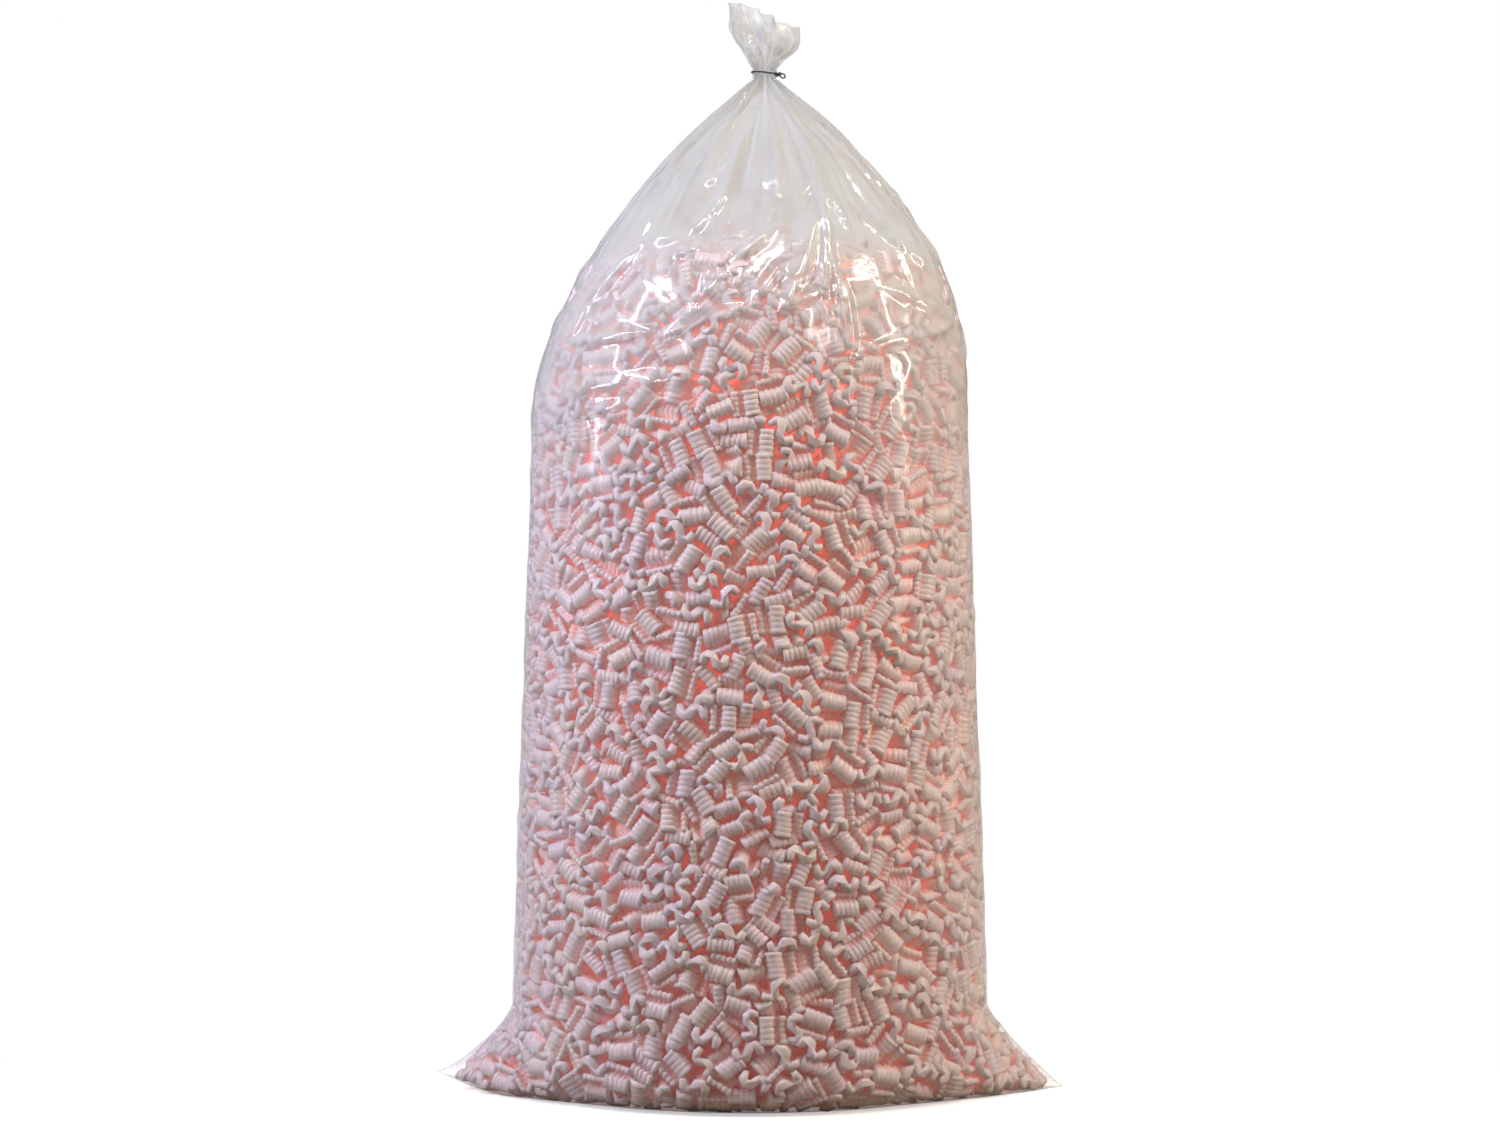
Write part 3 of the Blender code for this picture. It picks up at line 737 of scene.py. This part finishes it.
def strip_outline(points_along, hook):
    """The S of one peanut as a closed outline: two half rings joined head to tail.

    Each step is a place on the strip's middle line and the way from there to its edge.
    """
    radius_x = (PEANUT_LENGTH - PEANUT_STRIP) / 4
    radius_z = (PEANUT_HEIGHT - PEANUT_STRIP) / 2
    one_side, other_side = [], []
    for i in range(points_along):
        share = 2 * i / (points_along - 1) - 1
        side = 1 if share >= 0 else -1
        turn = abs(share) * (math.pi + hook)
        x = side * radius_x * (1 - math.cos(turn))
        middle = np.array([x, -side * radius_z * math.sin(turn)])
        along = np.array([radius_x * math.sin(turn), -radius_z * math.cos(turn)])
        along /= np.linalg.norm(along)
        across = np.array([-along[1], along[0]])
        if i == 0:
            other_side.append((middle, -along * 0.9))
        one_side.append((middle, across))
        other_side.append((middle, -across))
        if i == points_along - 1:
            one_side.append((middle, along * 0.9))
    return one_side + other_side[::-1]


def peanut_shape(points_along, ribs, hook, seed):
    """One ribbed peanut: its points, its side and end faces, and the groove each point lies in."""
    chance = np.random.default_rng(seed)
    pitch = PEANUT_DEPTH / ribs
    stations = [(-PEANUT_DEPTH / 2, END_ROUNDING, 0)]
    for rib in range(ribs):
        fullness = 1.0 + chance.uniform(-0.04, 0.04)
        stations.append((-PEANUT_DEPTH / 2 + pitch * (rib + 0.5), fullness, 0))
        if rib < ribs - 1:
            stations.append((-PEANUT_DEPTH / 2 + pitch * (rib + 1), RIB_GROOVE, rib + 1))
    stations.append((PEANUT_DEPTH / 2, END_ROUNDING, 0))
    outline = strip_outline(points_along, hook)
    count = len(outline)
    points = []
    for y, fullness, _ in stations:
        for middle, across in outline:
            place = middle + across * PEANUT_STRIP / 2 * fullness
            points.append((place[0], y, place[1]))
    points = np.array(points)
    grooves = np.repeat([groove for _, _, groove in stations], count)
    points[:, 0] += chance.uniform(-0.12, 0.12) * points[:, 1]
    points += 0.0006 * np.stack([ripple(points, 0.016, 12, seed + n) for n in (1, 2, 3)], axis=-1)
    rows = len(stations)
    index = np.arange(rows * count).reshape(rows, count)
    beside = np.roll(index, -1, axis=1)
    sides = np.stack([index[:-1], index[1:], beside[1:], beside[:-1]], axis=-1).reshape(-1, 4)
    ends = np.stack([index[0], index[-1][::-1]])
    return points, sides, ends, grooves


def light_within(points, buried_shade):
    """How strongly the deeper peanuts glow: a painted glow that stands in for light coming through
    to them, most near the top and the sides.
    """
    aside = np.clip(np.abs(points[:, 0]) / 0.3, 0.0, 1.0)
    level = GLOW_AT_FLOOR + GLOW_PER_METRE * points[:, 2] + GLOW_AT_SIDES * aside**2
    level += GLOW_AT_TOP * ease((points[:, 2] - 0.78) / 0.26)
    return level * np.clip((buried_shade - 0.15) / 0.85, 0.0, 1.0)


def mark_grooves(thing, grooves):
    """Keeps the grooves between ribs sharp: edges whose two ends lie in the same groove."""
    edges = thing.data.edges
    ends = np.empty(len(edges) * 2, dtype=np.int32)
    edges.foreach_get("vertices", ends)
    first, second = grooves[ends[::2]], grooves[ends[1::2]]
    sharp = thing.data.attributes.new("sharp_edge", "BOOLEAN", "EDGE")
    sharp.data.foreach_set("value", (first > 0) & (first == second))


def make_peanuts(name, places, turns, shapes, wall, seed):
    """One joined piece of many separate peanuts."""
    chance = np.random.default_rng(seed)
    kinds = chance.integers(len(shapes), size=len(places))
    sizes = chance.uniform(0.93, 1.05, size=(len(places), 3))
    tints = chance.uniform(size=len(places))
    all_points, all_sides, all_ends, all_tints, all_grooves = [], [], [], [], []
    start = 0
    for kind, (points, sides, ends, grooves) in enumerate(shapes):
        chosen = np.nonzero(kinds == kind)[0]
        scaled = points[None] * sizes[chosen][:, None]
        moved = np.einsum("nij,nkj->nki", turns[chosen], scaled) + places[chosen][:, None]
        offsets = start + len(points) * np.arange(len(chosen))
        all_points.append(moved.reshape(-1, 3))
        all_sides.append((sides[None] + offsets[:, None, None]).reshape(-1, 4))
        all_ends.append((ends[None] + offsets[:, None, None]).reshape(-1, ends.shape[1]))
        all_tints.append(np.repeat(tints[chosen], len(points)))
        all_grooves.append(np.tile(grooves, len(chosen)))
        start += len(points) * len(chosen)
    points = np.concatenate(all_points)
    depth, outward = wall.depth(points)
    outside = np.maximum(0.0006 - depth, 0.0)
    points = points - outward * outside[:, None]
    points[:, 2] = np.maximum(points[:, 2], ear_lift(points[:, 0], 0.0) + 0.0008)
    thing = mesh_object(name, points, [np.concatenate(all_sides), *all_ends])
    mark_grooves(thing, np.concatenate(all_grooves))
    # Painted coral shade and painted glow, both growing with depth below the film and the heap's
    # top
    from_top = heap_surface(points) - points[:, 2]
    buried_shade = np.clip(np.minimum(depth, from_top) / BURIED_DEPTH, 0.0, 1.0)
    add_values(thing, "glow", light_within(points, buried_shade))
    # More painted shade in the grooves between ribs, so that they come out pinker
    buried_shade += GROOVE_SHADE * (np.concatenate(all_grooves) > 0)
    add_values(thing, "buried_shade", np.clip(buried_shade, 0.0, 1.0))
    add_values(thing, "tint", np.concatenate(all_tints))
    return thing


def make_core(wall):
    """The peanuts further in, which only show as colour in the gaps, as one lumpy body in full
    painted coral shade and painted glow.
    """
    angles = np.linspace(-math.pi, math.pi, 97)[:-1]
    heights = np.concatenate([[0.004, 0.018], np.linspace(0.035, 1.00, 60), [1.035, 1.062]])
    angle, height = np.meshgrid(angles, heights)
    reach = wall.look_up(wall.reach, angle.ravel(), height.ravel()).reshape(angle.shape)
    shoulder = ease((height - 0.93) / (heights[-1] - 0.93))
    radius = np.minimum(reach, 0.33) - 0.056 + 0.030 * ease(1 - height / 0.05) - 0.13 * shoulder**2
    x = radius * np.cos(angle) + axis_shift(height)
    y = radius * np.sin(angle)
    rows = len(heights)
    points = np.stack([x, y, height], axis=-1)
    bumps = 0.006 * ripple(points, 0.05, 30, 21)
    points[..., 0] += bumps * np.cos(angle)
    points[..., 1] += bumps * np.sin(angle)
    index = np.arange(rows * len(angles)).reshape(rows, len(angles))
    ends = np.stack([index[0][::-1], index[-1]])
    core = mesh_object("peanut_core", points.reshape(-1, 3), [wall_faces(index), ends])
    # The whole core lies in full painted coral shade
    buried_shade = np.ones(rows * len(angles))
    add_values(core, "buried_shade", buried_shade)
    add_values(core, "glow", light_within(points.reshape(-1, 3), buried_shade))
    add_values(core, "tint", np.full(rows * len(angles), 0.5))
    return core


def feed(socket, value):
    """Gives a node's input a number, a colour or another node's output."""
    if isinstance(value, bpy.types.NodeSocket):
        socket.id_data.links.new(value, socket)
    else:
        socket.default_value = value


def feed_named(node, **values):
    """Gives a node's inputs their values by name, with _ for a space."""
    for name, value in values.items():
        feed(node.inputs[name.replace("_", " ")], value)


def node_adder(tree):
    """A function that adds nodes to a tree.

    It takes the node's kind, values for its first inputs, a node's settings in lower case, and
    more of its inputs by name.
    """

    def add(kind, *values, **named):
        node = tree.nodes.new(kind)
        for name in [name for name in named if name.islower()]:
            setattr(node, name, named.pop(name))
        for socket, value in zip(node.inputs, values):
            feed(socket, value)
        feed_named(node, **named)
        return node

    return add


def new_material(name):
    """A material with its shader, and a function that adds nodes to it."""
    material = bpy.data.materials.new(name)
    material.use_nodes = True
    tree = material.node_tree
    return material, tree.nodes["Principled BSDF"], node_adder(tree)


def stored(add, name):
    """A value stored at the mesh's points."""
    return add("ShaderNodeAttribute", attribute_name=name).outputs["Fac"]


def noise(add, scale, detail, roughness=0.5):
    """Noise over the object's own space."""
    place = add("ShaderNodeTexCoord").outputs["Object"]
    node = add("ShaderNodeTexNoise", Scale=scale, Detail=detail, Roughness=roughness, Vector=place)
    return node.outputs["Fac"]


def calculated(add, operation, *values, clamped=False):
    """One step of arithmetic."""
    return add("ShaderNodeMath", *values, operation=operation, use_clamp=clamped).outputs["Value"]


def brought_to(add, source, low, high, clamp=True, start=0.0, end=1.0):
    """A source's values from start to end, brought to low to high."""
    node = add("ShaderNodeMapRange", clamp=clamp, Value=source, From_Min=start, From_Max=end)
    feed_named(node, To_Min=low, To_Max=high)
    return node.outputs["Result"]


def mixed(add, first, second, share=1.0, blend_type="MIX"):
    """Two colours mixed or multiplied."""
    node = add("ShaderNodeMix", data_type="RGBA", blend_type=blend_type, Factor=share)
    feed_named(node, A=first, B=second)
    return node.outputs["Result"]


def coloured(add, source, *stops, interpolation="LINEAR"):
    """A source turned into colours by stops, each with its place and its colour."""
    node = add("ShaderNodeValToRGB", Fac=source)
    node.color_ramp.interpolation = interpolation
    elements = node.color_ramp.elements
    while len(elements) < len(stops):
        elements.new(0.5)
    for element, (place, colour) in zip(elements, stops):
        element.position = place
        element.color = (*colour, 1.0)
    return node.outputs["Color"]


def bumped(add, source, strength, distance):
    """Small unevenness of a surface."""
    node = add("ShaderNodeBump", Strength=strength, Distance=distance, Height=source)
    return node.outputs["Normal"]


def either_ray(add, first, second):
    """1 for two kinds of rays and 0 for the others."""
    path = add("ShaderNodeLightPath")
    return calculated(add, "MAXIMUM", path.outputs[first], path.outputs[second])


def foam_material():
    """Pale pink foam with painted coral shade where it lies deeper, and a painted glow there."""
    material, shader, add = new_material("pink_foam")
    # Painted shade: the foam turns from pale to coral with depth and in the rib grooves, standing
    # in for light tinted by the foam around it
    pale, middle, deep = (0.76, 0.655, 0.665), (0.90, 0.56, 0.53), (0.95, 0.43, 0.37)
    stops = ((0.12, pale), (0.50, middle), (1.0, deep))
    colour = coloured(add, stored(add, "buried_shade"), *stops, interpolation="EASE")
    tints = coloured(add, stored(add, "tint"), (0.0, (0.97, 0.93, 1.0)), (1.0, (1.0, 0.97, 0.93)))
    mottle = brought_to(add, noise(add, 90.0, 1.0), 0.93, 1.06)
    tinted = mixed(add, colour, tints, blend_type="MULTIPLY")
    toned = mixed(add, tinted, mottle, blend_type="MULTIPLY")
    feed_named(shader, Base_Color=toned, Roughness=0.24, Specular_IOR_Level=0.65)
    # Painted glow: emission on the deeper peanuts stands in for light that has come through other
    # peanuts
    glow = stored(add, "glow")
    feed_named(shader, Emission_Color=(1.0, 0.36, 0.27, 1.0), Emission_Strength=glow)
    feed_named(shader, Normal=bumped(add, noise(add, 420.0, 1.0, 0.6), 0.25, 0.0006))
    return material


def film_material():
    """Clear film: glossy, hazy where it stands off the peanuts, and greyer at its edges."""
    material, shader, add = new_material("clear_film")
    haze = stored(add, "haze")
    facing = add("ShaderNodeLayerWeight", Blend=0.5).outputs["Facing"]
    edge = calculated(add, "POWER", facing, 2.2)
    cloudy = brought_to(add, haze, 0.08, 0.62, clamp=False)
    edged = calculated(add, "MULTIPLY_ADD", edge, 0.50, cloudy, clamped=True)
    # Film scatters light rather than stops it, so its shadow is fainter than it looks
    unseen = either_ray(add, "Is Shadow Ray", "Is Diffuse Ray")
    alpha = calculated(add, "MULTIPLY", edged, brought_to(add, unseen, 1.0, 0.25))
    pressed = brought_to(add, haze, 0.22, 0.06, end=0.5)
    gloss = calculated(add, "MULTIPLY_ADD", noise(add, 30.0, 2.0), 0.10, pressed)
    crinkle = bumped(add, noise(add, 60.0, 2.0, 0.55), 0.2, 0.0015)
    feed_named(shader, Base_Color=(0.59, 0.61, 0.61, 1.0), IOR=2.5)
    feed_named(shader, Alpha=alpha, Roughness=gloss, Normal=crinkle)
    return material


def wire_material():
    """Soft black-coated wire, rubbed bright in places."""
    material, shader, add = new_material("dark_wire")
    stops = ((0.45, (0.010, 0.010, 0.010)), (0.80, (0.10, 0.10, 0.10)))
    colour = coloured(add, noise(add, 500.0, 3.0), *stops)
    feed_named(shader, Base_Color=colour, Roughness=0.32)
    return material


def floor_material():
    """A white floor that keeps the bag's shadow and fades into the white background."""
    material, shader, add = new_material("studio_floor")
    seen = either_ray(add, "Is Camera Ray", "Is Transmission Ray")
    scattered = add("ShaderNodeLightPath").outputs["Is Diffuse Ray"]
    tone = mixed(add, (0.80, 0.80, 0.80, 1.0), (0.24, 0.185, 0.13, 1.0), scattered)
    feed_named(shader, Base_Color=tone, Roughness=0.9, Specular_IOR_Level=0.0)
    lifted = calculated(add, "MULTIPLY", seen, 0.50)
    feed_named(shader, Emission_Color=(1.0, 1.0, 1.0, 1.0), Emission_Strength=lifted)
    place = add("ShaderNodeTexCoord").outputs["Object"]
    distance = add("ShaderNodeVectorMath", place, operation="LENGTH").outputs["Value"]
    far = brought_to(add, distance, 0.0, 1.0, start=0.50, end=1.10)
    share = calculated(add, "MULTIPLY", far, seen)
    white = add("ShaderNodeEmission", Strength=1.0).outputs["Emission"]
    surface = add("ShaderNodeMixShader", share, shader.outputs["BSDF"], white)
    output = material.node_tree.nodes["Material Output"]
    feed_named(output, Surface=surface.outputs["Shader"])
    return material


def add_softbox(name, place, size, colour, radiance, mirrored):
    """A studio lamp that faces the bag; one that isn't mirrored leaves no highlight."""
    width, height = size
    data = bpy.data.lights.new(name, "AREA")
    data.shape = "RECTANGLE"
    data.size = width
    data.size_y = height
    data.color = colour
    data.energy = radiance * math.pi * width * height
    lamp = bpy.data.objects.new(name, data)
    lamp.location = place
    lamp.rotation_euler = (BAG_MIDDLE - Vector(place)).to_track_quat("-Z", "Y").to_euler()
    lamp.visible_glossy = mirrored
    bpy.context.scene.collection.objects.link(lamp)


# The lamps: name, place, width and height, colour, radiance, and whether the film mirrors them
COOL, WARM, PLAIN = (0.87, 0.82, 1.0), (1.0, 0.87, 0.72), (1.0, 0.95, 0.89)
LAMPS = (
    # Thin ones that show as lines on the creases of the film
    ("left_line", (-2.3, -0.5, 1.7), (0.06, 1.8), COOL, 40.0, True),
    ("right_line", (2.3, -0.5, 1.7), (0.06, 1.8), WARM, 36.0, True),
    ("left_high_line", (-1.7, -0.8, 2.6), (1.2, 0.05), COOL, 50.0, True),
    ("right_high_line", (1.7, -0.8, 2.6), (1.2, 0.05), WARM, 50.0, True),
    ("left_front_line", (-1.3, -2.0, 2.3), (0.04, 0.9), PLAIN, 45.0, True),
    ("right_front_line", (1.3, -2.0, 2.3), (0.04, 0.9), PLAIN, 45.0, True),
    ("top_line", (0.0, -1.5, 2.9), (1.4, 0.06), PLAIN, 40.0, True),
    # Broad soft ones that light the peanuts but leave no patch on the film
    ("left_soft", (-2.3, -0.9, 1.8), (0.7, 1.8), (0.76, 0.83, 1.0), 11.4, False),
    ("right_soft", (2.3, -0.9, 1.8), (0.7, 1.8), (1.0, 0.88, 0.74), 8.2, False),
    ("high_soft", (-0.1, -0.75, 2.7), (1.6, 0.9), PLAIN, 1.7, False),
    # The same behind, so that the back isn't in the dark
    ("back_line", (0.0, 2.5, 2.3), (0.05, 1.0), PLAIN, 40.0, True),
    ("back_left_soft", (-1.5, 2.0, 1.8), (0.9, 1.6), COOL, 4.8, False),
    ("back_right_soft", (1.5, 2.0, 1.8), (0.9, 1.6), WARM, 4.8, False),
)
FLOOR_REACH = 30.0


def make_studio():
    """The floor, the lamps, the white background and the camera."""
    edges = ((-1, -1), (1, -1), (1, 1), (-1, 1))
    corners = np.array([[x * FLOOR_REACH, y * FLOOR_REACH, 0.0] for x, y in edges])
    floor = mesh_object("studio_floor", corners, [np.array([[0, 1, 2, 3]])])
    floor.location.z = -0.0006
    floor.data.materials.append(floor_material())
    for lamp in LAMPS:
        add_softbox(*lamp)
    world = bpy.data.worlds.new("studio_world")
    bpy.context.scene.world = world
    world.use_nodes = True
    add = node_adder(world.node_tree)
    seen = either_ray(add, "Is Camera Ray", "Is Transmission Ray")
    level = brought_to(add, seen, 0.12, 1.0)
    tone = mixed(add, (1.0, 0.92, 0.80, 1.0), (1.0, 1.0, 1.0, 1.0), seen)
    feed_named(world.node_tree.nodes["Background"], Strength=level, Color=tone)
    data = bpy.data.cameras.new("camera")
    data.sensor_width = 36.0
    data.lens = 88.44
    camera = bpy.data.objects.new("camera", data)
    camera.location = (0.0, -5.0, 0.711)
    camera.rotation_euler = (math.pi / 2, 0.0, 0.0)
    bpy.context.scene.collection.objects.link(camera)
    bpy.context.scene.camera = camera
    bpy.context.scene.view_settings.view_transform = "Standard"


make_studio()
film = make_film()
film.data.materials.append(film_material())
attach(film, "root")
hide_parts("bag_film")

wall = Wall()
places, turns = settle_peanuts(wall)
foam = foam_material()
hooks = (8, 16, 24, 30)
standing = [peanut_shape(9, 3, math.radians(hook), 100 + hook) for hook in hooks]
lying = [peanut_shape(6, 5, math.radians(hook), 150 + hook) for hook in hooks]
plain = [peanut_shape(4, 1, math.radians(20), 200)]
depth, outward = wall.depth(places)
near = np.minimum(depth, heap_surface(places) - places[:, 2]) < DETAILED_DEPTH
# A peanut whose end faces the film is made finer along its S, one that lies on it in its ribs
upright = np.abs(np.einsum("ij,ij->i", turns[:, :, 1], outward)) > 0.62
bands = ((-1.0, 0.36), (0.36, 0.72), (0.72, 2.0))
pieces = []
for number, (low, high) in enumerate(bands):
    inside = near & (places[:, 2] >= low) & (places[:, 2] < high)
    kinds = (("lying", inside & ~upright, lying), ("standing", inside & upright, standing))
    for kind, chosen, shapes in kinds:
        name = f"peanuts_{kind}_{number + 1}"
        seed = 40 + len(pieces)
        pieces.append(make_peanuts(name, places[chosen], turns[chosen], shapes, wall, seed))
pieces.append(make_peanuts("peanuts_behind", places[~near], turns[~near], plain, wall, 60))
pieces.append(make_core(wall))
for piece in pieces:
    piece.data.materials.append(foam)
    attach(piece, "root")
    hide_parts("peanut_heap")
wire = wire_material()
for name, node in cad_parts.items():
    if name.startswith("loose_peanut"):
        node.data.materials.clear()
        node.data.materials.append(foam)
    elif name == "wire_tie":
        node.data.materials.clear()
        node.data.materials.append(wire)
